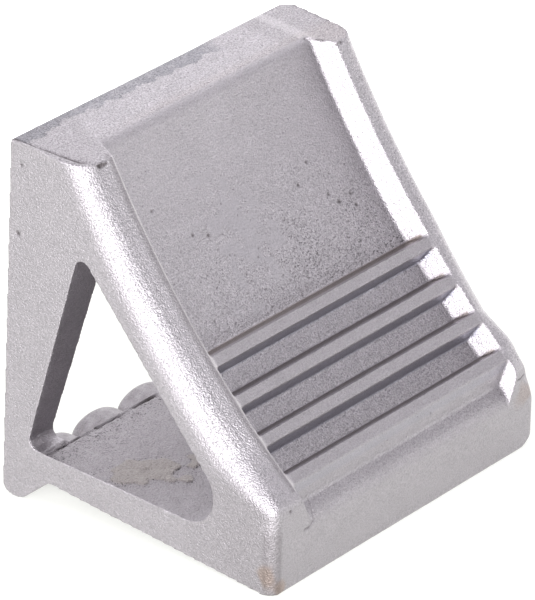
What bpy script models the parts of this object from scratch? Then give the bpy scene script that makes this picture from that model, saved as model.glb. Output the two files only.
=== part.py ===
"""One-piece cast aluminium wheel chock for trucks and trailers.

The chock is a single casting: a concave tread that takes the tyre, a raised rail along each
side of it, four grip ribs across it, two triangular side frames, a base plate and a row of
rounded toes that dig in behind the base.  It stands on its heels, its toes and its front foot.

Frame: metres, +Z up, the tread faces -Y, X runs across the tyre, and the origin is the middle
of the bounding box's bottom face.  Outlines are drawn in a side plane as (back, up), where
back is measured from the front face and up from the ground.
"""
import math

import bmesh
import bpy
from mathutils import Matrix, Vector

# Overall size
WIDTH = 0.203
HEIGHT = 0.1919
FRONTMOST_BACK = 0.00016
REARMOST_BACK = 0.16897
MIDDLE_BACK = (FRONTMOST_BACK + REARMOST_BACK) / 2

# Tread: an arc struck from the axle of a 1.04 m truck tyre that rests against it
TYRE_RADIUS = 0.5219
AXLE_BACK = -0.3362
AXLE_UP = 0.4304
TREAD_THICKNESS = 0.0110
NOSE_ROUND = 0.014
BROW_ROUND = 0.010
ROUND_REACH = 0.02
FRONT_DRAFT = 0.0015

# Rails beside the tread; the trough between them lies right of the chock's middle
TREAD_SHIFT = 0.0028
RAIL_HEIGHT = 0.0101
RAIL_FOOT = 0.0245
RAIL_CREST = 0.0185
LEFT_ROUND_TOP = 0.0125
LEFT_ROUND_MIDDLE = 0.0160
RIGHT_ROUND_TOP = 0.0088
RIGHT_ROUND_MIDDLE = 0.0105
RAIL_ROUND_SHOULDER = 0.018
RAIL_ROUND_FRONT = 0.0060
RAIL_ROUND_BASE = 0.0050
RAIL_MIDDLE_UP = 0.105
SHOULDER_RISE = 0.024
RAIL_NOSE_ROUND = 0.010

# Grip ribs
RIB_COUNT = 4
RIB_FIRST_ANGLE = math.radians(40.36)
RIB_PITCH_ANGLE = math.radians(2.437)
RIB_BASE = 0.0116
RIB_CREST = 0.0060
RIB_SHY = 0.0004
RIB_LAST_FOOT = 0.0105
RIB_ROOT = 0.003

# Top land
TOP_SLOPE = 0.1
TOP_REAR_BACK = 0.1593
TOP_REAR_ROUND = 0.003
CROWN_UNDERSIDE = 0.160

# Side frames and their windows
WALL_AT_FLOOR = 0.0178
WALL_AT_APEX = 0.0233
FLOOR_UP = 0.0300
FLOOR_FRONT_UP = 0.0224
FLOOR_EDGE_BACK = 0.1421
WINDOW_FRONT_BACK = 0.0183
WINDOW_REAR_BACK = 0.1524
APEX_BACK = 0.1179
APEX_UP = 0.1439
APEX_ROUND = 0.0045
WINDOW_REAR_ROUND = 0.0045
WINDOW_FRONT_ROUND = 0.016
CAVITY_FRONT_UP = 0.0382
CAVITY_ROUND = 0.008
SILL_STEP = 0.0004

# Heel and toes
FOOT_BACK = 0.010
RAMP_BACK = 0.1397
RAMP_UP = 0.0140
RAMP_ROUND = 0.003
HEEL_BACK = 0.1565
HEEL_CORNER_BACK = 0.1693
HEEL_ROUND = 0.006
TOE_COUNT = 5
HEEL_GAP = 0.1674
TOE_PITCH = 0.0342
TOE_SHIFT = -0.0036
TOE_TOP = 0.0199
TOE_START_BACK = 0.132
TOE_END_BACK = 0.1688
TOE_END_ROUND = 0.006
TOE_CLEFT = 0.0003
TOE_WEB_TOP = 0.0115
TOE_WEB_BOTTOM = 0.003
TOE_WEB_END_BACK = 0.162

# Modelling: how far tools run past the surface they cut, and how far added pieces bite into it
OVERRUN = 0.02
BITE = 0.0015
ARC_STEP = math.radians(1.0)
CORNER_STEP = math.radians(12)
RIM_STEPS = 8
BROW_PASSES = 8
TOE_STEPS = 32
TOE_END_STEPS = 4
SHARP_ANGLE = math.radians(30)
WELD_DISTANCE = 1e-6
FLAT_ANGLE = math.radians(0.05)
SCREW_MERGE = 0.0001

# Object axes seen from a side plane: local X is back, local Y is up, local Z is across
SIDE_PLANE = Matrix(((0, 0, 1, 0), (1, 0, 0, -MIDDLE_BACK), (0, 1, 0, 0), (0, 0, 0, 1)))


def clear_scene():
    """Remove what a new Blender file holds."""
    for thing in list(bpy.data.objects):
        bpy.data.objects.remove(thing, do_unlink=True)


def new_collection(name):
    """Make a collection in the scene."""
    group = bpy.data.collections.new(name)
    bpy.context.scene.collection.children.link(group)
    return group


def cast_aluminium():
    """Raw sand-cast aluminium."""
    material = bpy.data.materials.new("cast_aluminium")
    material.use_nodes = True
    shader = material.node_tree.nodes["Principled BSDF"]
    shader.inputs["Base Color"].default_value = (0.62, 0.61, 0.63, 1)
    shader.inputs["Metallic"].default_value = 0.9
    shader.inputs["Roughness"].default_value = 0.45
    return material


def polar(angle, radius):
    """Point at an angle below the horizontal through the tyre's axle."""
    return Vector((AXLE_BACK + radius * math.cos(angle), AXLE_UP - radius * math.sin(angle)))


def arc_about_axle(radius, start, end):
    """Points along an arc struck from the tyre's axle, ends included."""
    count = max(1, round(abs(end - start) / ARC_STEP))
    return [polar(start + (end - start) * i / count, radius) for i in range(count + 1)]


def angle_at_back(radius, back):
    """Angle where an arc about the axle reaches a distance back from the front face."""
    return math.acos((back - AXLE_BACK) / radius)


def fillet(before, corner, after, radius):
    """Arc that rounds the corner of an outline."""
    to_before = (before - corner).normalized()
    to_after = (after - corner).normalized()
    half = to_before.angle(to_after) / 2
    bisector = (to_before + to_after).normalized()
    centre = corner + bisector * (radius / math.sin(half))
    start = corner + to_before * (radius / math.tan(half)) - centre
    end = corner + to_after * (radius / math.tan(half)) - centre
    sweep = math.pi - 2 * half
    turn = math.copysign(1, start.x * end.y - start.y * end.x)
    count = max(1, round(sweep / CORNER_STEP))
    points = []
    for i in range(count + 1):
        step = turn * sweep * i / count
        x = start.x * math.cos(step) - start.y * math.sin(step)
        y = start.x * math.sin(step) + start.y * math.cos(step)
        points.append(centre + Vector((x, y)))
    return points


def rounded(corners):
    """Outline from (point, radius) corners; radius 0 keeps the corner sharp."""
    points = []
    for i, (corner, radius) in enumerate(corners):
        if radius:
            before = corners[i - 1][0]
            after = corners[(i + 1) % len(corners)][0]
            points.extend(fillet(before, corner, after, radius))
        else:
            points.append(corner)
    return points


def sharp(points):
    """Corners of radius 0."""
    return [(point, 0) for point in points]


def top_up(back):
    """Height of the top land."""
    return HEIGHT - TOP_SLOPE * (TOP_REAR_BACK - back)


def crest_radius():
    """Radius of the rail crests about the axle."""
    return TYRE_RADIUS - RAIL_HEIGHT


def block_outline():
    """Side view of the underside, heel, rear and top, run out past the tread and the front."""
    front = -OVERRUN
    return rounded([
        (Vector((front, 0)), 0),
        (Vector((FOOT_BACK, 0)), 0),
        (Vector((RAMP_BACK, RAMP_UP)), RAMP_ROUND),
        (Vector((HEEL_BACK, 0)), HEEL_ROUND),
        (Vector((HEEL_CORNER_BACK, 0)), HEEL_ROUND),
        (Vector((TOP_REAR_BACK, HEIGHT)), TOP_REAR_ROUND),
        (Vector((front, top_up(front))), 0),
    ])


def front_path():
    """Side view of the front face, the nose and the rail crests, run out at both ends."""
    low = angle_at_back(crest_radius(), 0)
    high = math.asin((AXLE_UP - HEIGHT - OVERRUN) / crest_radius())
    crest = arc_about_axle(crest_radius(), low, high)
    foot = Vector((FRONT_DRAFT, 0))
    below_foot = foot + (foot - crest[0]).normalized() * OVERRUN
    nose = fillet(foot, crest[0], crest[1], RAIL_NOSE_ROUND)
    return [below_foot, foot, *nose, *crest[1:]]


def rim_round(up, middle_radius, top_radius):
    """Radius that rounds a rail into its side frame: widest just above the nose, narrow below it."""
    front_up = polar(angle_at_back(crest_radius(), 0), crest_radius()).y
    shoulder_up = front_up + SHOULDER_RISE
    stages = ((0, RAIL_ROUND_BASE), (front_up, RAIL_ROUND_FRONT), (shoulder_up, RAIL_ROUND_SHOULDER),
              (RAIL_MIDDLE_UP, middle_radius), (HEIGHT, top_radius))
    for (low, low_radius), (high, high_radius) in zip(stages, stages[1:]):
        if up < high:
            share = max((up - low) / (high - low), 0)
            return low_radius + (high_radius - low_radius) * share
    return top_radius


def rim_section(point, inward, radius):
    """Quarter circle from the side frame to the rail's crest, as (place in side view, distance across)."""
    section = []
    for step in range(RIM_STEPS + 1):
        turn = math.pi / 2 * step / RIM_STEPS
        place = point + inward * (radius * (1 - math.sin(turn)))
        section.append((place, WIDTH / 2 - radius * (1 - math.cos(turn))))
    return section


def rounded_front(name, group):
    """Loft of the front and tread side with rounded rims, solid back to a plane behind the heel."""
    path = front_path()
    rear = REARMOST_BACK + OVERRUN
    shape = bmesh.new()
    rings = []
    for i, point in enumerate(path):
        along = path[min(i + 1, len(path) - 1)] - path[max(i - 1, 0)]
        inward = Vector((along.y, -along.x)).normalized()
        right = rim_section(point, inward, rim_round(point.y, RIGHT_ROUND_MIDDLE, RIGHT_ROUND_TOP))
        left = rim_section(point, inward, rim_round(point.y, LEFT_ROUND_MIDDLE, LEFT_ROUND_TOP))
        right.insert(0, (Vector((rear, right[0][0].y)), WIDTH / 2))
        left.insert(0, (Vector((rear, left[0][0].y)), WIDTH / 2))
        ring = [shape.verts.new((place.x, place.y, across)) for place, across in right]
        ring += [shape.verts.new((place.x, place.y, -across)) for place, across in reversed(left)]
        rings.append(ring)
    count = len(rings[0])
    for below, above in zip(rings, rings[1:]):
        for i in range(count):
            j = (i + 1) % count
            shape.faces.new((below[i], below[j], above[j], above[i]))
    for ring in (rings[0], rings[-1]):
        shape.faces.new(ring[1:-1])
        shape.faces.new((ring[0], ring[1], ring[-2], ring[-1]))
    bmesh.ops.recalc_face_normals(shape, faces=shape.faces)
    mesh = bpy.data.meshes.new(name)
    shape.to_mesh(mesh)
    shape.free()
    solid = bpy.data.objects.new(name, mesh)
    solid.matrix_world = SIDE_PLANE
    group.objects.link(solid)
    return solid


def floor_up(back):
    """Height of the inside floor, which falls gently to the front, a touch below the sills."""
    share = (back - WINDOW_FRONT_BACK) / (WINDOW_REAR_BACK - WINDOW_FRONT_BACK)
    return FLOOR_FRONT_UP + (FLOOR_UP - FLOOR_FRONT_UP) * share - SILL_STEP


def window_outline():
    """Triangular window of a side frame."""
    return rounded([
        (Vector((WINDOW_FRONT_BACK, FLOOR_FRONT_UP)), WINDOW_FRONT_ROUND),
        (Vector((WINDOW_REAR_BACK, FLOOR_UP)), WINDOW_REAR_ROUND),
        (Vector((APEX_BACK, APEX_UP)), APEX_ROUND),
    ])


def cavity_outline():
    """Space between the side frames, open at the rear."""
    radius = TYRE_RADIUS + TREAD_THICKNESS
    low = math.asin((AXLE_UP - CAVITY_FRONT_UP) / radius)
    high = math.asin((AXLE_UP - CROWN_UNDERSIDE) / radius)
    underside = arc_about_axle(radius, low, high)
    rear = REARMOST_BACK + OVERRUN
    return rounded([
        (Vector((underside[0].x, floor_up(underside[0].x))), CAVITY_ROUND),
        (Vector((rear, floor_up(rear))), 0),
        (Vector((rear, CROWN_UNDERSIDE)), 0),
        (underside[-1], CAVITY_ROUND),
        *sharp(reversed(underside[:-1])),
    ])


def nose_outline():
    """What the rounded nose between the rails takes off the sharp front edge."""
    edge = polar(angle_at_back(TYRE_RADIUS, 0), TYRE_RADIUS)
    up_tread = polar(angle_at_back(TYRE_RADIUS, ROUND_REACH), TYRE_RADIUS)
    curve = fillet(up_tread, edge, Vector((FRONT_DRAFT, 0)), NOSE_ROUND)
    return [*curve, Vector((-OVERRUN, curve[-1].y)), Vector((-OVERRUN, curve[0].y + OVERRUN)),
            Vector((curve[0].x, curve[0].y + OVERRUN))]


def brow_outline():
    """What the rounded edge between the tread and the top land takes off the sharp edge."""
    angle = math.asin((AXLE_UP - top_up(0)) / TYRE_RADIUS)
    for _ in range(BROW_PASSES):
        angle = math.asin((AXLE_UP - top_up(polar(angle, TYRE_RADIUS).x)) / TYRE_RADIUS)
    edge = polar(angle, TYRE_RADIUS)
    down_tread = polar(angle + ROUND_REACH / TYRE_RADIUS, TYRE_RADIUS)
    along_top = Vector((edge.x + ROUND_REACH, top_up(edge.x + ROUND_REACH)))
    curve = fillet(down_tread, edge, along_top, BROW_ROUND)
    return [*curve, Vector((curve[-1].x, HEIGHT + OVERRUN)),
            Vector((curve[0].x - OVERRUN, HEIGHT + OVERRUN)), Vector((curve[0].x - OVERRUN, curve[0].y))]


def heel_gap_outline():
    """Space behind the base plate that the toes stand in."""
    rear = REARMOST_BACK + OVERRUN
    top = floor_up(rear) + BITE
    return [Vector((FLOOR_EDGE_BACK, -OVERRUN)), Vector((rear, -OVERRUN)),
            Vector((rear, top)), Vector((FLOOR_EDGE_BACK, top))]


def toe_web_outline():
    """Bar that joins the toes to each other and to the legs."""
    return [Vector((TOE_START_BACK, TOE_WEB_BOTTOM)), Vector((TOE_WEB_END_BACK, TOE_WEB_BOTTOM)),
            Vector((TOE_WEB_END_BACK, TOE_WEB_TOP)), Vector((TOE_START_BACK, TOE_WEB_TOP))]


def rib_outline(index):
    """Side view of one grip rib, rooted in the tread; the last one runs out onto the nose."""
    crest = crest_radius() + RIB_SHY
    root = TYRE_RADIUS + RIB_ROOT
    lower_foot = RIB_LAST_FOOT if index == RIB_COUNT - 1 else RIB_BASE / 2
    deepen = RIB_ROOT / (TYRE_RADIUS - crest)
    lower_root = lower_foot + (lower_foot - RIB_CREST / 2) * deepen
    upper_root = RIB_BASE / 2 + (RIB_BASE - RIB_CREST) / 2 * deepen
    corners = ((RIB_CREST / 2, crest), (lower_root, root), (-upper_root, root), (-RIB_CREST / 2, crest))
    angle = RIB_FIRST_ANGLE + RIB_PITCH_ANGLE * index
    return [polar(angle + down / TYRE_RADIUS, radius) for down, radius in corners]


def prism(name, outline, half_width, group):
    """Solid made from a side-view outline, centred across the chock."""
    curve = bpy.data.curves.new(name, "CURVE")
    curve.dimensions = "2D"
    curve.fill_mode = "BOTH"
    curve.extrude = half_width
    spline = curve.splines.new("POLY")
    spline.points.add(len(outline) - 1)
    for point, (back, up) in zip(spline.points, outline):
        point.co = (back, up, 0, 1)
    spline.use_cyclic_u = True
    drawn = bpy.data.objects.new(name + "_curve", curve)
    drawn.matrix_world = SIDE_PLANE
    group.objects.link(drawn)
    return mesh_from_curve(name, drawn, group)


def mesh_from_curve(name, drawn, group):
    """Closed mesh with the curve object's shape, in place of it."""
    bpy.context.view_layer.update()
    evaluated = drawn.evaluated_get(bpy.context.evaluated_depsgraph_get())
    mesh = bpy.data.meshes.new_from_object(evaluated)
    mesh.name = name
    shape = bmesh.new()
    shape.from_mesh(mesh)
    bmesh.ops.remove_doubles(shape, verts=shape.verts, dist=WELD_DISTANCE)
    bmesh.ops.dissolve_limit(shape, angle_limit=FLAT_ANGLE, verts=shape.verts, edges=shape.edges)
    bmesh.ops.recalc_face_normals(shape, faces=shape.faces)
    shape.to_mesh(mesh)
    shape.free()
    solid = bpy.data.objects.new(name, mesh)
    solid.matrix_world = drawn.matrix_world
    group.objects.link(solid)
    bpy.data.objects.remove(drawn, do_unlink=True)
    return solid


def as_cutter(solid):
    """Mark an object as a tool and not a part."""
    solid.hide_render = True
    solid.display_type = "WIRE"
    return solid


def turned(name, profile, group):
    """Ring turned about the tyre's axle from a closed (radius, across) profile."""
    mesh = bpy.data.meshes.new(name)
    points = [(radius, 0, across) for radius, across in profile]
    edges = [(i, (i + 1) % len(points)) for i in range(len(points))]
    mesh.from_pydata(points, edges, [])
    ring = bpy.data.objects.new(name, mesh)
    axle = Vector((AXLE_BACK, AXLE_UP, 0))
    ring.matrix_world = SIDE_PLANE @ Matrix.Translation(axle)
    group.objects.link(ring)
    screw = ring.modifiers.new("turn", "SCREW")
    screw.axis = "Z"
    screw.steps = round(math.tau / ARC_STEP)
    screw.render_steps = screw.steps
    screw.use_merge_vertices = True
    screw.merge_threshold = SCREW_MERGE
    screw.use_normal_calculate = True
    return ring


def tyre_tread(group):
    """Tyre-shaped tool that hollows the tread and leaves a drafted rail on each side."""
    foot = WIDTH / 2 - RAIL_FOOT
    crest = WIDTH / 2 - RAIL_CREST
    slope = (crest - foot) / RAIL_HEIGHT
    inner = TYRE_RADIUS - RAIL_HEIGHT - OVERRUN
    wide = foot + slope * (RAIL_HEIGHT + OVERRUN)
    profile = [(TYRE_RADIUS, foot), (TYRE_RADIUS, -foot), (inner, -wide), (inner, wide)]
    return as_cutter(turned("tyre_tread", profile, group))


def cavity(group):
    """Tool for the space between the side frames, whose walls thin towards the floor."""
    tool = prism("cavity", cavity_outline(), WIDTH / 2, group)
    for vertex in tool.data.vertices:
        up = vertex.co.y
        rise = (up - FLOOR_UP) / (APEX_UP - FLOOR_UP)
        wall = WALL_AT_FLOOR + (WALL_AT_APEX - WALL_AT_FLOOR) * rise
        vertex.co.z = math.copysign(WIDTH / 2 - wall, vertex.co.z)
    return as_cutter(tool)


def toe(index, group):
    """One rounded toe: a lying cylinder, wider than tall, with its rear end rounded."""
    half_width = (TOE_PITCH - TOE_CLEFT) / 2
    half_height = TOE_TOP / 2
    start_back = TOE_START_BACK + TOE_END_ROUND
    length = TOE_END_BACK - start_back
    shape = bmesh.new()
    bmesh.ops.create_cone(shape, cap_ends=True, segments=TOE_STEPS, radius1=1, radius2=1, depth=length)
    bmesh.ops.scale(shape, vec=(half_width, half_height, 1), verts=shape.verts)
    rim = [edge for edge in shape.edges if all(v.co.z > 0 for v in edge.verts)]
    bmesh.ops.bevel(shape, geom=rim, offset=TOE_END_ROUND, segments=TOE_END_STEPS, profile=0.5,
                    affect="EDGES", clamp_overlap=True)
    mesh = bpy.data.meshes.new(f"toe_{index + 1}")
    shape.to_mesh(mesh)
    shape.free()
    solid = bpy.data.objects.new(mesh.name, mesh)
    across = TOE_SHIFT + (index - (TOE_COUNT - 1) / 2) * TOE_PITCH
    centre_back = (start_back + TOE_END_BACK) / 2 - MIDDLE_BACK
    solid.matrix_world = Matrix((
        (1, 0, 0, across),
        (0, 0, 1, centre_back),
        (0, -1, 0, half_height),
        (0, 0, 0, 1),
    ))
    group.objects.link(solid)
    return as_cutter(solid)


def beside_middle(solid):
    """Move a tool from the chock's middle to the trough's middle."""
    solid.matrix_world = Matrix.Translation((TREAD_SHIFT, 0, 0)) @ solid.matrix_world
    return solid


def boolean(body, tool, operation):
    """Cut or add a tool."""
    change = body.modifiers.new(tool.name, "BOOLEAN")
    change.operation = operation
    change.object = tool
    change.solver = "EXACT"


def build():
    """Model the casting."""
    clear_scene()
    parts = new_collection("wheel_chock")
    tools = new_collection("cutters")
    body = rounded_front("chock_casting", parts)
    body.data.materials.append(cast_aluminium())
    block = as_cutter(prism("block", block_outline(), WIDTH / 2 + OVERRUN, tools))
    boolean(body, block, "INTERSECT")
    trough_half_width = WIDTH / 2 - RAIL_FOOT
    cuts = [
        beside_middle(tyre_tread(tools)),
        beside_middle(as_cutter(prism("nose", nose_outline(), trough_half_width, tools))),
        beside_middle(as_cutter(prism("brow", brow_outline(), trough_half_width, tools))),
        cavity(tools),
        as_cutter(prism("windows", window_outline(), WIDTH / 2 + OVERRUN, tools)),
        as_cutter(prism("heel_gap", heel_gap_outline(), HEEL_GAP / 2, tools)),
    ]
    for tool in cuts:
        boolean(body, tool, "DIFFERENCE")
    rib_half_length = WIDTH / 2 - RAIL_CREST + BITE
    for index in range(RIB_COUNT):
        rib = as_cutter(prism(f"rib_{index + 1}", rib_outline(index), rib_half_length, tools))
        boolean(body, beside_middle(rib), "UNION")
    web_half_length = HEEL_GAP / 2 + BITE
    boolean(body, as_cutter(prism("toe_web", toe_web_outline(), web_half_length, tools)), "UNION")
    for index in range(TOE_COUNT):
        boolean(body, toe(index, tools), "UNION")
    body.data.shade_smooth()
    body.data.set_sharp_from_angle(angle=SHARP_ANGLE)


build()
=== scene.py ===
"""Looks of the cast aluminium wheel chock.

The CAD casting is remeshed finely, its edges are softened as in a sand mould, and its skin is
given the waviness, pits, creases and ragged flash of a raw casting.  One procedural material
then gives the metal its grain, painted shade, painted highlights and stains.  Lengths are in
metres; "back" is measured from the chock's front face and "up" from the ground, and angles are
below the horizontal through the axle of the tyre that the tread is struck from.
"""
import itertools
import math

import bmesh
import bpy
import numpy as np
from mathutils import Matrix, Vector


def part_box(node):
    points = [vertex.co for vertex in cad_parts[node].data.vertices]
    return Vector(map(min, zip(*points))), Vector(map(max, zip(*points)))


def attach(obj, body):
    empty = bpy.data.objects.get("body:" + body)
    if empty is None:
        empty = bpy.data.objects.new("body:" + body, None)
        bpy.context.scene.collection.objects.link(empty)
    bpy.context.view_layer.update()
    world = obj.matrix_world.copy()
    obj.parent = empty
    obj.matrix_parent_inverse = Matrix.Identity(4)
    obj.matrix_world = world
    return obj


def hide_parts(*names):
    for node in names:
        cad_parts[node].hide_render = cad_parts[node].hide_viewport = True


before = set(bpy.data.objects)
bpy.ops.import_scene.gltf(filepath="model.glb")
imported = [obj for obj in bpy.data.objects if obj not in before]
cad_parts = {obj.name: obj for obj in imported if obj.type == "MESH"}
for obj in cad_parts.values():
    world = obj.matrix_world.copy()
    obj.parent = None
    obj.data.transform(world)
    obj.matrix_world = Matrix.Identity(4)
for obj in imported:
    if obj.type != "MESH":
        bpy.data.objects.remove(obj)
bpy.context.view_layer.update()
NODE = "chock_casting"
LOW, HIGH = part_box(NODE)

# Camera, found for the view from the front left
CAMERA_PLACE = Vector((-2.0452, -1.6637, 1.4161))
CAMERA_RIGHT = Vector((0.6316, -0.7753, 0.0))
CAMERA_UP = Vector((0.3483, 0.2838, 0.8934))
CAMERA_LENS = 369.94
SENSOR = 36.0
NEAREST, FARTHEST = 0.1, 50

# Studio: a bright surround, dimmed where it faces the gap; the gap's limits are cosines
SURROUND_COLOUR = (0.98, 0.97, 1.0, 1)
GAP_DIRECTION = Vector((0.0, -0.84, 0.54)).normalized()
GAP_OUTER, GAP_INNER = 0.84, 0.98
GAP_STRENGTH = 0.35
# Soft boxes: (name, direction from the chock, distance, (width, height), radiance)
LIGHT_AIM = Vector((0, 0, 0.09))
SOFT_BOXES = (("soft_box_left", (-0.84, -0.50, 0.28), 1.6, (2.6, 1.3), 4.0),
              ("soft_box_behind", (0.69, 0.46, 0.55), 2.0, (1.3, 1.3), 1.15),
              ("soft_box_above", (-0.45, 0.40, 0.82), 1.9, (1.2, 1.2), 1.6))

# Floor, which glows more towards the rear right
FLOOR_SIZE = 30
FLOOR_HEIGHT = -0.0002
FLOOR_COLOUR = (0.42, 0.425, 0.41, 1)
FLOOR_ROUGHNESS = 0.9
FLOOR_SPECULAR = 0.1
GLOW_COLOUR = (0.99, 1, 0.965, 1)
GLOW_DIRECTION = (0.87, 0.42, 0)
GLOW_NEAR, GLOW_FAR = 0.12, 0.5
GLOW_WEAK, GLOW_STRONG = 0.64, 1.7

# Metal's noise: (cell size, detail, roughness)
FINE = (0.0008, 2.0, 0.6)
GRAIN = (0.0016, 2.0, 0.55)
BLOTCH = (0.014, 4.0, 0.6)
SPECKS = (0.0009, 1.0, 0.4)
# Metal's colours; a tint multiplies what is under it, in this order
METAL = (0.462, 0.436, 0.464, 1)
SMOOTH_METAL = (0.470, 0.448, 0.476, 1)
SPECK_COLOUR = (0.17, 0.16, 0.17, 1)
PALE_HIGHLIGHT_COLOUR = (0.78, 0.75, 0.76, 1)
# The slate and olive tints are painted shade on the ribs' flanks, the strip tint is painted shade along the
# top land's rear edge, the pale colour is a painted highlight, and the dark tint is painted shade in
# creases, slits and corners and on some faces, elsewhere only a darker tone
TINTS_UNDER_PALE = (("slate_shade", (0.86, 0.90, 0.97, 1)), ("strip_shade", (0.66, 0.68, 0.70, 1)))
TINTS_OVER_PALE = (("olive_shade", (0.50, 0.45, 0.39, 1)), ("dark", (0.20, 0.18, 0.17, 1)),
                   ("beige", (1.0, 0.97, 0.86, 1)), ("stain", (0.86, 0.66, 0.47, 1)))
GRAIN_CONTRAST, HARSH_CONTRAST, BLOTCH_CONTRAST = 0.9, 1.1, 0.16
SPECK_FROM, SPECK_TO = 0.58, 0.66
ROUGHNESS, GRAIN_ROUGHNESS, DARK_ROUGHNESS = 0.33, 0.25, 0.25
FINE_RELIEF, GRAIN_RELIEF, SPECK_RELIEF = 0.8, 0.4, 0.4
RELIEF_DEPTH = 0.0006
FLATTENING = 0.75
# Values painted on the casting's points, for the metal to read
PAINTED = ("dark", "olive_shade", "speck", "smooth", "stain", "beige", "strip_shade", "slate_shade", "harsh", "calm",
           "pale_highlight")

# Casting's shape
FRONT_GAP = 0.00016
TYRE_RADIUS = 0.5219
AXLE_BACK = -0.3362
AXLE_UP = 0.4304
RAIL_FOOT = 0.077
RAIL_CREST = 0.083
CREST_RADIUS = 0.5118
TREAD_SHIFT = 0.0028
RIB_ANGLES = [math.radians(40.36 + 2.437 * i) for i in range(4)]
FLOOR_EDGE = 0.1421
LAND_BASE = 0.18
FLOOR_BASE, FLOOR_TOP = 0.02, 0.033

# Remeshing
WELD = 1e-6
VOXEL = 0.0007
SOFTEN_FACTOR = 0.5
SOFTEN_STEPS = 3

# Skin's unevenness: (cell size, depth)
WAVES = ((0.036, 0.00020), (0.012, 0.00010), (0.0035, 0.00006), (0.0016, 0.00004))
# Raggedness of painted edges, as (cell size, seed)
FLECK = (0.0017, 11)
RAGGED = (0.006, 12)
DRIFT = (0.02, 13)

# Creases and slits, as (x, back, up)
LAND_EDGE = [(-0.1010, 0.1580, 0.1912), (-0.0993, 0.1427, 0.1897), (-0.0975, 0.1320, 0.1887),
             (-0.0957, 0.1213, 0.1876), (-0.0890, 0.1140, 0.1858)]
LAND_END = [(0.0890, 0.1140, 0.1858), (0.0828, 0.1204, 0.1875), (0.0780, 0.1275, 0.1882)]
NOSE_CREASE = [(-0.0680, 0.0066, 0.0369), (-0.0703, 0.0030, 0.0325), (-0.0711, 0.0010, 0.0294),
               (-0.0746, 0.0006, 0.0273), (-0.0784, 0.0006, 0.0273)]
NOSE_CRACK = [(0.0854, 0.0002, 0.0399), (0.0895, 0.0002, 0.0388), (0.0936, 0.0003, 0.0388)]
# Where the painted highlight along the left rail's lip runs onto the land
LAND_LIP = [(-0.0802, 0.1142, 0.1857), (-0.0799, 0.1180, 0.1861), (-0.0737, 0.1331, 0.1876),
            (-0.0713, 0.1405, 0.1884)]
FLOOR_SLITS = [[(-0.0925, 0.1410, 0.0294), (-0.0766, 0.1412, 0.0294)],
               [(-0.0644, 0.1412, 0.0292), (-0.0470, 0.1410, 0.0292)],
               [(-0.0365, 0.1410, 0.0290), (-0.0200, 0.1412, 0.0290)],
               [(0.0010, 0.1412, 0.0290), (0.0190, 0.1410, 0.0290)],
               [(0.0330, 0.1410, 0.0290), (0.0500, 0.1412, 0.0290)],
               [(0.0640, 0.1412, 0.0290), (0.0800, 0.1410, 0.0290)]]
SLIT_DEPTH = 0.0016
# (path, depth, width, strength of the painted shade in the crease)
CREASES = ((LAND_EDGE, 0.0008, 0.0010, 0.85), (LAND_END, 0.0005, 0.0008, 0.7),
           (NOSE_CREASE, 0.0005, 0.0009, 0.4), (NOSE_CRACK, 0.0004, 0.0006, 0.7))
# Painted shade where the rails' crests meet the top land: (path, width)
STREAKS = (([(-0.0900, 0.1142, 0.1857), (-0.0855, 0.1136, 0.1856)], 0.0014),
           ([(0.0860, 0.1142, 0.1857), (0.0960, 0.1190, 0.1865)], 0.0010))
STREAK_SHADE = 0.8
# Shoulders of the nose, worn back: (place, depth, reach)
SHOULDERS = (((0.1010, 0.0015, 0.0430), 0.0042, 0.020), ((-0.1010, 0.0015, 0.0400), 0.0010, 0.012))
# Corners rounded like a ball: (x, y, z), (direction into the casting), reach
ROUND_CORNERS = (((HIGH.x, LOW.y + 0.0012, LOW.z), (-1, 1, 1), 0.015),
                 ((LOW.x, LOW.y + 0.0012, LOW.z), (1, 1, 1), 0.008),
                 ((HIGH.x, HIGH.y - 0.0093, HIGH.z), (-1, -1, -1), 0.012),
                 ((LOW.x, HIGH.y - 0.0093, HIGH.z), (1, -1, -1), 0.004))

# Larger pits: (x, back, up, radius)
PITS = [(-0.0443, 0.0962, 0.1381, 0.0010), (-0.0350, 0.0942, 0.1352, 0.0011),
        (-0.0618, 0.1065, 0.1541, 0.0009), (0.0331, 0.0947, 0.1360, 0.0010),
        (0.0446, 0.0991, 0.1426, 0.0009), (0.0488, 0.0885, 0.1272, 0.0010),
        (0.0533, 0.0853, 0.1227, 0.0012), (0.0625, 0.0858, 0.1234, 0.0011),
        (0.0627, 0.0822, 0.1185, 0.0012), (-0.1015, 0.1562, 0.1418, 0.0015),
        (-0.1015, 0.1528, 0.1787, 0.0009), (-0.0891, 0.0003, 0.0416, 0.0010)]
# Small pits: most lie just above the first rib, and half of those on the left are left out
PIT_SEED = 7
PIT_TRIES = 300
PIT_SPREAD = 0.074
PIT_LOWEST, PIT_HIGHEST, PIT_FADE = 0.705, 0.50, 0.055
PIT_LEFT_LOSS = 0.5
PIT_SMALLEST, PIT_LARGEST = 0.0004, 0.0007
# A pit's depth and how dark it is painted for its radius, and how far round it points are looked at
PIT_DEPTH = 0.5
PIT_DARKNESS, PIT_DARKNESS_MOST = 800, 0.75
PIT_REACH = 0.003

# Tread: where specks set in, and a smooth patch as (x, half width), (angle, half height)
SPECKS_DOWN = (math.radians(31), math.radians(40))
SPECKS_RIGHT = (-0.07, 0.05)
PATCH_ACROSS = (-0.014, 0.026)
PATCH_DOWN = (math.radians(34.8), math.radians(2.7))
PATCH_STRENGTH = 0.55
LOWER_TREAD = (math.radians(42), math.radians(48))
# Bands of painted shade on a rib's flanks: distances from its middle where the shade sets in and ends
UPPER_FLANK = (0.0036, 0.0044, 0.0056, 0.0064)
LOWER_FLANK = (0.0032, 0.0040, 0.0060, 0.0068)
# Strength of the painted shade on each rib from the top: (upper flank's brown, lower flank's grey)
RIB_SHADE = ((0.95, 1.0), (0.8, 1.0), (0.8, 1.0), (0.8, 0.4))
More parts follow.
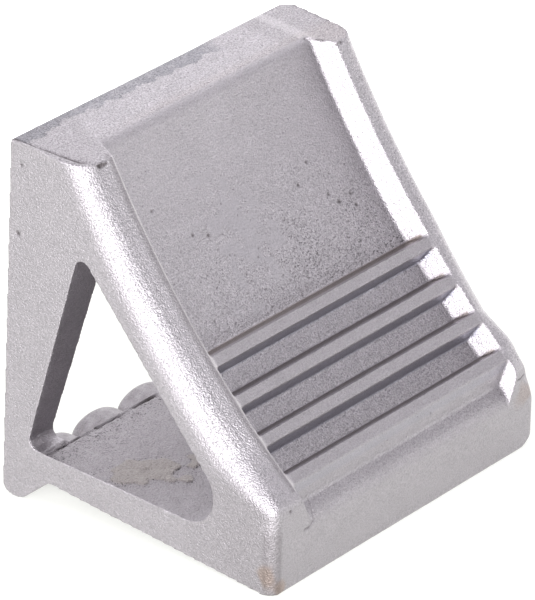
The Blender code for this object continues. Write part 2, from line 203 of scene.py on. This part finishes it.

# Left rail: a painted highlight along its lip, as the highlight's fade and its strength on the rail and on
# the land, and how far the crest is sunk
LIP_FADE = (0.0004, 0.0014)
LIP_STRENGTH, LAND_LIP_STRENGTH = 0.75, 0.35
LIP_SHADE = (0.0008, 0.0014, 0.0022, 0.0050)
LIP_SHADE_STRENGTH = 0.34
HUMP_DEPTH, HUMP_RUN = 0.0013, 0.010
# Right rail's inner face is worn calm
CALM_STRENGTH = 0.35

# Top land: a strip of painted shade along its rear edge, whose front edge passes a place and runs forward
# to the right
STRIP_X, STRIP_BACK, STRIP_SLOPE = -0.085, 0.1508, 0.024
STRIP_RIGHT_END = (0.030, 0.045)
STRIP_DEPTH = 0.0003
LAND_END_DEPTH = 0.0006
LAND_SPECKS = 0.25
# Facets of the top land, painted only: a painted highlight on one facet, and painted shade at the land's
# ends
FACET = (0.074, 0.077, 0.081, 0.085)
FACET_HIGHLIGHT = 0.16
LAND_END_SHADE = 0.12

# Inside floor: patch of flash as (x, back), (half length, half width), turned by an angle
FLASH_PLACE = (-0.079, 0.0955)
FLASH_SIZE = (0.021, 0.0105)
FLASH_COSINE, FLASH_SINE = 0.82, 0.57
FLASH_STRENGTH = 0.7
FLASH_RELIEF = 0.0005

# Stains low on the front: (place, reach, strength)
STAINS = (((-0.1005, 0.0060, 0.0100), 0.006, 0.55), ((-0.0950, 0.0018, 0.0030), 0.006, 0.55),
          ((0.0930, 0.0006, 0.0300), 0.007, 0.3))
LAND_STAIN = 0.10


class Nodes:
    """Short hand for building a node tree."""

    def __init__(self, tree):
        self.tree = tree

    def set(self, socket, value):
        """Link a socket to another node's output, or give it a plain value."""
        if isinstance(value, bpy.types.NodeSocket):
            self.tree.links.new(value, socket)
        else:
            socket.default_value = value

    def place(self, kind):
        """Coordinates of the point that is shaded."""
        return self.tree.nodes.new("ShaderNodeTexCoord").outputs[kind]

    def attribute(self, name):
        """Value painted on the mesh."""
        node = self.tree.nodes.new("ShaderNodeAttribute")
        node.attribute_name = name
        return node.outputs["Fac"]

    def math(self, operation, first, second=0.0, clamp=False):
        """Arithmetic on one or two values."""
        node = self.tree.nodes.new("ShaderNodeMath")
        node.operation = operation
        node.use_clamp = clamp
        self.set(node.inputs[0], first)
        self.set(node.inputs[1], second)
        return node.outputs["Value"]

    def scaled(self, value, factor, offset):
        """Value times a factor, plus an offset."""
        result = self.math("MULTIPLY_ADD", value, factor)
        result.node.inputs[2].default_value = offset
        return result

    def swing(self, value, factor, offset):
        """Offset moved up and down by a noise that lies about 0.5."""
        return self.scaled(self.math("SUBTRACT", value, 0.5), factor, offset)

    def along(self, place, direction):
        """How far a place lies along a direction."""
        node = self.tree.nodes.new("ShaderNodeVectorMath")
        node.operation = "DOT_PRODUCT"
        self.set(node.inputs[0], place)
        self.set(node.inputs[1], direction)
        return node.outputs["Value"]

    def noise(self, place, cell, detail, roughness):
        """Cloudy noise with features about as large as the cell."""
        node = self.tree.nodes.new("ShaderNodeTexNoise")
        self.set(node.inputs["Vector"], place)
        node.inputs["Scale"].default_value = 1 / cell
        node.inputs["Detail"].default_value = detail
        node.inputs["Roughness"].default_value = roughness
        return node.outputs["Fac"]

    def ramp(self, value, low, high, start=0.0, end=1.0):
        """Smooth step from start to end as the value goes from low to high."""
        node = self.tree.nodes.new("ShaderNodeMapRange")
        node.interpolation_type = "SMOOTHSTEP"
        self.set(node.inputs["Value"], value)
        node.inputs["From Min"].default_value = low
        node.inputs["From Max"].default_value = high
        node.inputs["To Min"].default_value = start
        node.inputs["To Max"].default_value = end
        return node.outputs["Result"]

    def mix(self, amount, first, second, blend="MIX"):
        """Blend of two colours."""
        node = self.tree.nodes.new("ShaderNodeMix")
        node.data_type = "RGBA"
        node.blend_type = blend
        self.set(node.inputs[0], amount)
        self.set(node.inputs[6], first)
        self.set(node.inputs[7], second)
        return node.outputs[2]

    def tinted(self, amount, colour, tint):
        """Colour multiplied by a tint where the amount is 1."""
        return self.mix(amount, colour, self.mix(1.0, colour, tint, "MULTIPLY"))

    def grey(self, value):
        """Colour with all three channels equal to a value."""
        node = self.tree.nodes.new("ShaderNodeCombineColor")
        for channel in range(3):
            self.set(node.inputs[channel], value)
        return node.outputs["Color"]


def add_camera():
    """Camera at the view from the front left and above."""
    data = bpy.data.cameras.new("camera")
    data.lens = CAMERA_LENS
    data.sensor_width = SENSOR
    data.clip_start = NEAREST
    data.clip_end = FARTHEST
    camera = bpy.data.objects.new("camera", data)
    back = CAMERA_RIGHT.cross(CAMERA_UP)
    turn = Matrix((CAMERA_RIGHT, CAMERA_UP, back)).transposed()
    camera.matrix_world = Matrix.Translation(CAMERA_PLACE) @ turn.to_4x4()
    bpy.context.scene.collection.objects.link(camera)
    bpy.context.scene.camera = camera


def area_light(name, direction, distance, size, radiance):
    """Rectangular soft light that faces the chock from a direction."""
    data = bpy.data.lights.new(name, "AREA")
    data.shape = "RECTANGLE"
    data.size, data.size_y = size
    data.energy = radiance * math.pi * size[0] * size[1]
    light = bpy.data.objects.new(name, data)
    direction = Vector(direction).normalized()
    light.location = LIGHT_AIM + direction * distance
    light.rotation_euler = direction.to_track_quat("Z", "Y").to_euler()
    bpy.context.scene.collection.objects.link(light)


def add_lights():
    """White studio: a bright surround with a dark gap in front, and three soft boxes."""
    world = bpy.data.worlds.new("studio")
    world.use_nodes = True
    nodes = Nodes(world.node_tree)
    surround = world.node_tree.nodes["Background"]
    surround.inputs["Color"].default_value = SURROUND_COLOUR
    facing = nodes.along(nodes.place("Generated"), GAP_DIRECTION)
    nodes.set(surround.inputs["Strength"],
              nodes.ramp(facing, GAP_OUTER, GAP_INNER, 1.0, GAP_STRENGTH))
    bpy.context.scene.world = world
    for soft_box in SOFT_BOXES:
        area_light(*soft_box)


def add_floor():
    """Pale floor, lit from within like a studio table."""
    bpy.ops.mesh.primitive_plane_add(size=FLOOR_SIZE, location=(0, 0, FLOOR_HEIGHT))
    floor = bpy.context.object
    floor.name = "floor"
    material = bpy.data.materials.new("pale_floor")
    material.use_nodes = True
    shader = material.node_tree.nodes["Principled BSDF"]
    nodes = Nodes(material.node_tree)
    shader.inputs["Base Color"].default_value = FLOOR_COLOUR
    shader.inputs["Roughness"].default_value = FLOOR_ROUGHNESS
    shader.inputs["Specular IOR Level"].default_value = FLOOR_SPECULAR
    shader.inputs["Emission Color"].default_value = GLOW_COLOUR
    distance = nodes.along(nodes.place("Object"), GLOW_DIRECTION)
    glow = nodes.ramp(distance, GLOW_NEAR, GLOW_FAR, GLOW_WEAK, GLOW_STRONG)
    nodes.set(shader.inputs["Emission Strength"], glow)
    floor.data.materials.append(material)


def cast_aluminium():
    """Raw sand-cast aluminium: grainy, pitted, with painted shade in its corners and creases, painted
    highlights, and a few stains.
    """
    material = bpy.data.materials.new("cast_aluminium")
    material.use_nodes = True
    tree = material.node_tree
    shader = tree.nodes["Principled BSDF"]
    nodes = Nodes(tree)
    place = nodes.place("Object")
    painted = {name: nodes.attribute(name) for name in PAINTED}
    fine = nodes.noise(place, *FINE)
    grain = nodes.noise(place, *GRAIN)

    # Colour: grain and blotches about a lilac grey, then specks, painted shade, painted highlights and
    # stains
    contrast = nodes.scaled(painted["harsh"], HARSH_CONTRAST, GRAIN_CONTRAST)
    tone = nodes.swing(fine, contrast, 1.0)
    patchy = nodes.swing(nodes.noise(place, *BLOTCH), BLOTCH_CONTRAST, 1.0)
    colour = nodes.mix(1.0, METAL, nodes.grey(tone), "MULTIPLY")
    colour = nodes.mix(1.0, colour, nodes.grey(patchy), "MULTIPLY")
    colour = nodes.mix(painted["smooth"], colour, SMOOTH_METAL)
    specks = nodes.ramp(nodes.noise(place, *SPECKS), SPECK_FROM, SPECK_TO)
    hole = nodes.math("MULTIPLY", specks, painted["speck"], True)
    colour = nodes.mix(hole, colour, SPECK_COLOUR)
    for name, tint in TINTS_UNDER_PALE:
        colour = nodes.tinted(painted[name], colour, tint)
    colour = nodes.mix(painted["pale_highlight"], colour, PALE_HIGHLIGHT_COLOUR)
    for name, tint in TINTS_OVER_PALE:
        colour = nodes.tinted(painted[name], colour, tint)
    nodes.set(shader.inputs["Base Color"], colour)
    shader.inputs["Metallic"].default_value = 1.0

    # Gloss: varies with the grain, and is duller where dark is painted, which is mostly painted shade
    gloss = nodes.swing(grain, GRAIN_ROUGHNESS, ROUGHNESS)
    dull = nodes.math("MULTIPLY", painted["dark"], DARK_ROUGHNESS)
    nodes.set(shader.inputs["Roughness"], nodes.math("ADD", gloss, dull, True))

    # Relief: sand grain, with specks as small holes, flatter where the metal is smooth or calm
    height = nodes.math("ADD", nodes.math("MULTIPLY", fine, FINE_RELIEF),
                        nodes.math("MULTIPLY", grain, GRAIN_RELIEF))
    height = nodes.math("SUBTRACT", height, nodes.math("MULTIPLY", hole, SPECK_RELIEF))
    flat = nodes.math("MAXIMUM", painted["smooth"], painted["calm"])
    bump = tree.nodes.new("ShaderNodeBump")
    bump.inputs["Distance"].default_value = RELIEF_DEPTH
    nodes.set(bump.inputs["Strength"],
              nodes.math("SUBTRACT", 1.0, nodes.math("MULTIPLY", flat, FLATTENING)))
    nodes.set(bump.inputs["Height"], height)
    nodes.set(shader.inputs["Normal"], bump.outputs["Normal"])
    return material


def lattice(cells, seed):
    """Repeatable random value between 0 and 1 for each whole-number cell."""
    value = np.full(len(cells), seed * 374761393, np.uint64)
    for axis, factor in enumerate((73856093, 19349663, 83492791)):
        value ^= cells[:, axis].astype(np.uint64) * np.uint64(factor)
        value = (value ^ (value >> np.uint64(13))) * np.uint64(1274126177)
    value ^= value >> np.uint64(16)
    return (value & np.uint64(0xFFFFFF)).astype(float) / 0xFFFFFF


def clouds(points, cell, seed):
    """Smooth noise between 0 and 1 with features about as large as the cell."""
    scaled = points / cell + 1000
    base = np.floor(scaled)
    part = scaled - base
    part = part * part * part * (part * (part * 6 - 15) + 10)
    total = np.zeros(len(points))
    for corner in itertools.product((0, 1), repeat=3):
        weight = np.prod(np.where(np.array(corner) == 1, part, 1 - part), axis=1)
        total += weight * lattice(base + corner, seed)
    return total


def step(value, low, high):
    """Smooth step from 0 to 1 as the value goes from low to high."""
    part = np.clip((value - low) / (high - low), 0, 1)
    return part * part * (3 - 2 * part)


def band(value, rise_from, rise_to, fall_from, fall_to):
    """Smooth band that is 1 between its rise and its fall."""
    return step(value, rise_from, rise_to) * (1 - step(value, fall_from, fall_to))


def path_distance(points, path):
    """Distance of each point from a path through the given corners."""
    nearest = np.full(len(points), np.inf)
    for start, end in zip(path[:-1], path[1:]):
        start = np.array(start)
        run = np.array(end) - start
        along = np.clip((points - start) @ run / (run @ run), 0, 1)
        nearest = np.minimum(nearest, np.linalg.norm(points - start - along[:, None] * run, axis=1))
    return nearest


def round_corner(place, corner, inward, reach):
    """Round a corner of the casting like a ball, fading out along its edges."""
    inward = np.array(inward)
    centre = np.array(corner) + inward * reach
    offset = place - centre
    beyond = np.all(offset * inward < 0, axis=1)
    away = np.linalg.norm(offset, axis=1)
    ball = reach * math.sqrt(2)
    chosen = beyond & (away > ball)
    place[chosen] = centre + offset[chosen] * (ball / away[chosen])[:, None]


def remeshed_casting():
    """Fine even mesh of the CAD casting, with its edges softened."""
    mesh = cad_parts[NODE].data.copy()
    shape = bmesh.new()
    shape.from_mesh(mesh)
    bmesh.ops.remove_doubles(shape, verts=shape.verts, dist=WELD)
    shape.to_mesh(mesh)
    shape.free()
    rough = bpy.data.objects.new("rough", mesh)
    bpy.context.scene.collection.objects.link(rough)
    remesh = rough.modifiers.new("remesh", "REMESH")
    remesh.mode = "VOXEL"
    remesh.voxel_size = VOXEL
    soften = rough.modifiers.new("soften", "SMOOTH")
    soften.factor = SOFTEN_FACTOR
    soften.iterations = SOFTEN_STEPS
    bpy.context.view_layer.update()
    evaluated = rough.evaluated_get(bpy.context.evaluated_depsgraph_get())
    fine = bpy.data.meshes.new_from_object(evaluated)
    fine.name = "casting"
    bpy.data.objects.remove(rough, do_unlink=True)
    piece = bpy.data.objects.new("casting", fine)
    bpy.context.scene.collection.objects.link(piece)
    return piece


class Skin:
    """Points of the casting: where they are, how far each is sunk, and what is painted on it."""

    def __init__(self, mesh):
        self.mesh = mesh
        self.place = self.read("co")
        self.normal = self.read("normal")
        self.x = self.place[:, 0]
        self.back = self.place[:, 1] - LOW.y + FRONT_GAP
        self.up = self.place[:, 2]
        self.spot = np.stack((self.x, self.back, self.up), axis=1)
        self.side = np.abs(self.x)
        self.trough = np.abs(self.x - TREAD_SHIFT)
        self.radius = np.hypot(self.back - AXLE_BACK, AXLE_UP - self.up)
        self.angle = np.arctan2(AXLE_UP - self.up, self.back - AXLE_BACK)
        self.fleck = clouds(self.spot, *FLECK)
        self.ragged = clouds(self.spot, *RAGGED) - 0.5
        self.drift = clouds(self.spot, *DRIFT) - 0.5
        self.sink = np.zeros(len(self.x))
        self.paint = {name: np.zeros(len(self.x)) for name in PAINTED}
        self.find_regions()

    def read(self, name):
        """One vector per point of the mesh."""
        values = np.empty(len(self.mesh.vertices) * 3)
        self.mesh.vertices.foreach_get(name, values)
        return values.reshape(-1, 3)

    def find_regions(self):
        """Strength between 0 and 1 of each region that the skin's features belong to."""
        towards_axle = -(self.normal[:, 1] * ((self.back - AXLE_BACK) / self.radius)
                         + self.normal[:, 2] * (-(AXLE_UP - self.up) / self.radius))
        level = step(self.normal[:, 2], 0.9, 0.97)
        self.rail_rim = step(self.side, 0.084, 0.094) * (self.radius < TYRE_RADIUS) * (self.up > 0.02)
        self.tread = step(towards_axle, 0.9, 0.98)
        self.tread *= step(self.radius, TYRE_RADIUS - 0.002, TYRE_RADIUS - 0.0008)
        self.tread *= step(RAIL_FOOT + 0.001 - self.trough, 0, 0.001) * (self.radius < TYRE_RADIUS + 0.003)
        self.land = level * (self.up > LAND_BASE)
        self.floor = level * (self.up > FLOOR_BASE) * (self.up < FLOOR_TOP)
        self.floor *= self.back < FLOOR_EDGE + 0.001
        self.inside = ((self.side < 0.0995) * (self.back > 0.01) * (self.up > 0.01)
                       * (self.radius > TYRE_RADIUS + 0.004))

    def add(self, name, values):
        """Paint where the values are higher than what is there."""
        self.paint[name] = np.maximum(self.paint[name], values)

    def finish(self):
        """Sink the points, round the corners and store what is painted."""
        self.place -= self.normal * self.sink[:, None]
        for corner in ROUND_CORNERS:
            round_corner(self.place, *corner)
        self.mesh.vertices.foreach_set("co", self.place.ravel())
        self.mesh.update()
        for name, values in self.paint.items():
            layer = self.mesh.attributes.new(name, "FLOAT", "POINT")
            layer.data.foreach_set("value", np.clip(values, 0, 1).astype(np.float32))


def add_waves(skin):
    """Waviness of the whole skin."""
    for seed, (cell, depth) in enumerate(WAVES):
        skin.sink += depth * clouds(skin.spot, cell, seed + 1)


def add_creases(skin):
    """Creases on the top land and the nose with painted shade in them, worn shoulders, streaks of painted
    shade where the rails meet the land, and the floor's slits with painted shade in them.
    """
    for path, depth, width, crease_shade in CREASES:
        near = path_distance(skin.spot, path) + skin.ragged * 0.0008
        groove = 1 - step(near, width * 0.3, width * 1.3)
        skin.sink += depth * groove
        # Painted shade in the crease
        skin.add("dark", groove * crease_shade)
    for shoulder, depth, reach in SHOULDERS:
        away = np.linalg.norm(skin.spot - np.array(shoulder), axis=1)
        skin.sink += depth * (1 - step(away, 0, reach))
    for path, width in STREAKS:
        near = path_distance(skin.spot, path) + skin.ragged * 0.0012
        # Painted shade where the rails' crests meet the top land
        skin.add("dark", STREAK_SHADE * (1 - step(near, width * 0.4, width * 1.4)))
    for path in FLOOR_SLITS:
        near = path_distance(skin.spot, path) + skin.ragged * 0.0008
        slit = 1 - step(near, 0.0004, 0.0011)
        skin.sink += SLIT_DEPTH * slit * skin.floor
        # Painted shade in the slit
        skin.add("dark", slit)


def scattered_pits():
    """Small pits over the tread, as (x, back, up, radius)."""
    dice = np.random.RandomState(PIT_SEED)
    pits = []
    for _ in range(PIT_TRIES):
        across = dice.uniform(-PIT_SPREAD, PIT_SPREAD)
        turn = PIT_LOWEST - abs(dice.normal(0, PIT_FADE))
        keep = dice.uniform(0, 1)
        if turn < PIT_HIGHEST or (across < 0 and keep < PIT_LEFT_LOSS):
            continue
        pits.append((across, AXLE_BACK + TYRE_RADIUS * math.cos(turn),
                     AXLE_UP - TYRE_RADIUS * math.sin(turn), dice.uniform(PIT_SMALLEST, PIT_LARGEST)))
    return pits


def add_pits(skin):
    """Pits: the larger ones in their places, and the small ones."""
    dark = skin.paint["dark"]
    for *centre, size in PITS + scattered_pits():
        centre = np.array(centre)
        chosen = np.nonzero(np.all(np.abs(skin.spot - centre) < PIT_REACH, axis=1))[0]
        away = np.linalg.norm(skin.spot[chosen] - centre, axis=1)
        pit = 1 - step(away, size * 0.3, size * 1.4)
        skin.sink[chosen] += PIT_DEPTH * size * pit
        # Pits are painted darker, the larger ones more
        dark[chosen] = np.maximum(dark[chosen], min(PIT_DARKNESS_MOST, PIT_DARKNESS * size) * pit)


def paint_tread(skin):
    """Specks towards the first rib and to the right, and a smooth paler patch in the middle."""
    down = step(skin.angle, *SPECKS_DOWN)
    right = step(skin.x, *SPECKS_RIGHT)
    below = step(skin.angle, RIB_ANGLES[0], RIB_ANGLES[0] + 0.01)
    speck = skin.tread * (0.10 + 0.75 * down * (0.5 + 0.5 * right) + 0.5 * skin.drift)
    speck *= 1 - 0.55 * below
    along = (skin.x - PATCH_ACROSS[0]) / PATCH_ACROSS[1]
    across = (skin.angle - PATCH_DOWN[0]) / PATCH_DOWN[1]
    blob = np.hypot(along, across) + 1.6 * skin.ragged + 1.2 * skin.drift
    smooth = skin.tread * (1 - step(blob, 0.55, 1.15)) * PATCH_STRENGTH
    skin.paint["smooth"] = smooth
    skin.paint["speck"] = speck * (1 - smooth)
    harsh = np.maximum(np.maximum(skin.land, skin.rail_rim), skin.tread * (0.15 + 0.85 * down))
    harsh *= 1 - 0.8 * step(skin.angle, RIB_ANGLES[-1] + 0.008, RIB_ANGLES[-1] + 0.02)
    skin.paint["harsh"] = harsh


def paint_ribs(skin):
    """Brownish painted shade on the ribs' upper flanks, grey painted shade on the lower, and darker rib
    crests and lower tread.
    """
    between_rails = skin.trough < RAIL_FOOT + 0.004
    near = (skin.radius < TYRE_RADIUS + 0.001) * between_rails * (skin.back < 0.12)
    # Painted shade on each rib: brownish at its upper flank, grey on its lower flank
    for rib, (olive_shade, slate_shade) in zip(RIB_ANGLES, RIB_SHADE):
        across = (skin.angle - rib) * TYRE_RADIUS
        skin.add("olive_shade", band(-across, *UPPER_FLANK) * near * olive_shade)
        skin.add("slate_shade", band(across, *LOWER_FLANK) * near * slate_shade)
    crests = (skin.radius < CREST_RADIUS + 0.001) * between_rails * (skin.angle > RIB_ANGLES[0] - 0.01)
    lower_tread = skin.tread * step(skin.angle, *LOWER_TREAD)
    skin.add("dark", 0.13 * crests + 0.10 * lower_tread)


def weather_rails(skin):
    """Painted highlight along the left rail's lip, with painted shade beside it and a sunk crest; right
    rail's calm inner face.
    """
    lip = np.hypot(skin.x - TREAD_SHIFT + RAIL_CREST, skin.radius - CREST_RADIUS)
    lip = lip + skin.ragged * 0.0006
    near_crest = (skin.radius < CREST_RADIUS + 0.004) * (skin.back > 0.004) * (skin.x < 0)
    lip_on_land = path_distance(skin.spot, LAND_LIP) + skin.ragged * 0.0008
    # Painted highlight along the lip, on the rail and on the land
    skin.add("pale_highlight", LIP_STRENGTH * (1 - step(lip, *LIP_FADE)) * near_crest)
    skin.add("pale_highlight", LAND_LIP_STRENGTH * (1 - step(lip_on_land, *LIP_FADE)))
    shade = band(lip, *LIP_SHADE) * (skin.x < TREAD_SHIFT - RAIL_CREST)
    skin.add("dark", LIP_SHADE_STRENGTH * shade * near_crest)
    outside = TREAD_SHIFT - RAIL_CREST - skin.x
    hump = step(outside, 0, HUMP_RUN) * np.clip(1 - skin.normal[:, 0] ** 2, 0, 1)
    hump = hump * (skin.radius < TYRE_RADIUS + 0.012)
    skin.sink += (HUMP_DEPTH * hump * step(skin.back, 0.004, 0.02) * (skin.normal[:, 1] < 0.05)
                  * (1 - skin.land))
    skin.paint["calm"] = (CALM_STRENGTH * step(-skin.normal[:, 0], 0.6, 0.8) * (skin.x > RAIL_FOOT)
                          * (skin.radius < TYRE_RADIUS))


def weather_land(skin):
    """Top land: a slightly sunk strip of painted shade along the rear edge, sunk ends, specks, and facets
    that are colour only: a painted highlight on one, painted shade at the ends.
    """
    x, back, land = skin.x, skin.back, skin.land
    edge = STRIP_BACK - STRIP_SLOPE * (x - STRIP_X) + 0.004 * skin.ragged + 0.003 * (skin.fleck - 0.5)
    # The strip is painted shade on the sloping rear edge
    strip_shade = step(skin.normal[:, 2], 0.5, 0.7) * (skin.up > LAND_BASE)
    strip_shade = strip_shade * step(back, edge - 0.0004, edge + 0.0004) * (1 - step(x, *STRIP_RIGHT_END))
    strip_shade *= 0.6 + 0.8 * clouds(skin.spot, 0.004, 21)
    skin.paint["strip_shade"] = strip_shade
    skin.sink += STRIP_DEPTH * strip_shade
    skin.sink += land * LAND_END_DEPTH * step(skin.side, 0.076, 0.086)
    skin.add("speck", LAND_SPECKS * land)
    # A painted highlight on one facet near the right end
    facet = band(x, *FACET)
    skin.add("pale_highlight", FACET_HIGHLIGHT * land * facet)
    # Painted shade at the land's right and left ends
    right_end = step(x, 0.060, 0.068) * (1 - facet) * LAND_END_SHADE
    left_end = LAND_END_SHADE * (1 - step(x + 0.080 - (back - 0.118) * 0.45, -0.002, 0.002))
    skin.add("dark", land * np.maximum(right_end, left_end))


def weather_floor(skin):
    """Inside floor: rough, with a beige patch of flash that has ragged edges."""
    floor, back = skin.floor, skin.back
    x_away, back_away = skin.x - FLASH_PLACE[0], back - FLASH_PLACE[1]
    along = (x_away * FLASH_COSINE + back_away * -FLASH_SINE) / FLASH_SIZE[0]
    across = (x_away * FLASH_SINE + back_away * FLASH_COSINE) / FLASH_SIZE[1]
    patch = np.hypot(along, across) + 2.0 * skin.ragged
    beige = FLASH_STRENGTH * floor * (1 - step(patch, 0.80, 1.0))
    rim = FLASH_STRENGTH * floor * band(patch, 0.70, 0.90, 1.05, 1.5)
    far = floor * step(back, 0.118, 0.138)
    skin.paint["beige"] = beige
    skin.sink += (-FLASH_RELIEF * beige + FLASH_RELIEF * rim * skin.fleck
                  + FLASH_RELIEF * floor * skin.ragged)
    skin.sink += 0.0009 * far * clouds(skin.spot, 0.003, 23)
    skin.add("speck", np.maximum(0.9 * rim, 0.6 * far) + 0.35 * floor)
    skin.sink += 0.0008 * floor * step(back, FLOOR_EDGE - 0.002, FLOOR_EDGE) * clouds(skin.spot, 0.0025, 24)
    skin.add("dark", floor * (0.10 + 0.14 * step(back, 0.06, 0.10)))


def add_painted_shade(skin):
    """Painted shade on the toes, the windows' rear reveals, the left flank, the front and its left edge."""
    # Painted shade on the toes, low behind the floor's step
    toes = (skin.side < 0.0840) * (skin.back > FLOOR_EDGE + 0.001) * (skin.up < 0.0205)
    skin.add("dark", (0.26 + 0.3 * (clouds(skin.spot, 0.003, 27) - 0.4)) * toes)
    # Painted shade on the windows' rear reveals
    reveal = skin.inside * step(-skin.normal[:, 1], 0.8, 0.95) * (skin.back > 0.11)
    skin.add("dark", reveal * 0.2 * skin.fleck)
    # Painted shade on the left flank, more at its low front
    left_flank = step(-skin.normal[:, 0], 0.9, 0.97) * (skin.side > 0.099)
    low_front = (1 - step(skin.back, 0.015, 0.07)) * (1 - step(skin.up, 0.03, 0.10))
    skin.add("dark", left_flank * (0.08 + 0.14 * low_front))
    # Painted shade on the front face
    skin.add("dark", 0.10 * step(-skin.normal[:, 1], 0.9, 0.97) * (skin.back < 0.004))
    # Painted shade that dims the highlight low on the front's left edge
    left_edge = step(-skin.x, 0.0935, 0.0965) * (1 - step(skin.back, 0.006, 0.011))
    skin.add("dark", 0.4 * left_edge * (1 - step(skin.up, 0.030, 0.045)))


def add_stains(skin):
    """Rusty stains low on the front, and a faint one along the top land's front edge."""
    for place, reach, strength in STAINS:
        away = np.linalg.norm(skin.spot - np.array(place), axis=1)
        near = 1 - step(away * (1 + 1.2 * skin.ragged), reach * 0.3, reach)
        skin.add("stain", strength * near)
    skin.add("stain", LAND_STAIN * skin.land * step(0.136 - skin.back, 0, 0.008)
             * step(skin.x, -0.08, -0.02))


def weather(piece):
    """Give the casting its uneven skin, and paint on it painted shade, painted highlights, darker tones,
    specks and stains.
    """
    skin = Skin(piece.data)
    for feature in (add_waves, add_creases, add_pits, paint_tread, paint_ribs, weather_rails,
                    weather_land, weather_floor, add_painted_shade, add_stains):
        feature(skin)
    skin.finish()


add_camera()
add_lights()
add_floor()
casting = remeshed_casting()
weather(casting)
casting.data.materials.clear()
casting.data.materials.append(cast_aluminium())
casting.data.shade_smooth()
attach(casting, "root")
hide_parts(NODE)

bpy.context.scene.view_settings.view_transform = "Standard"
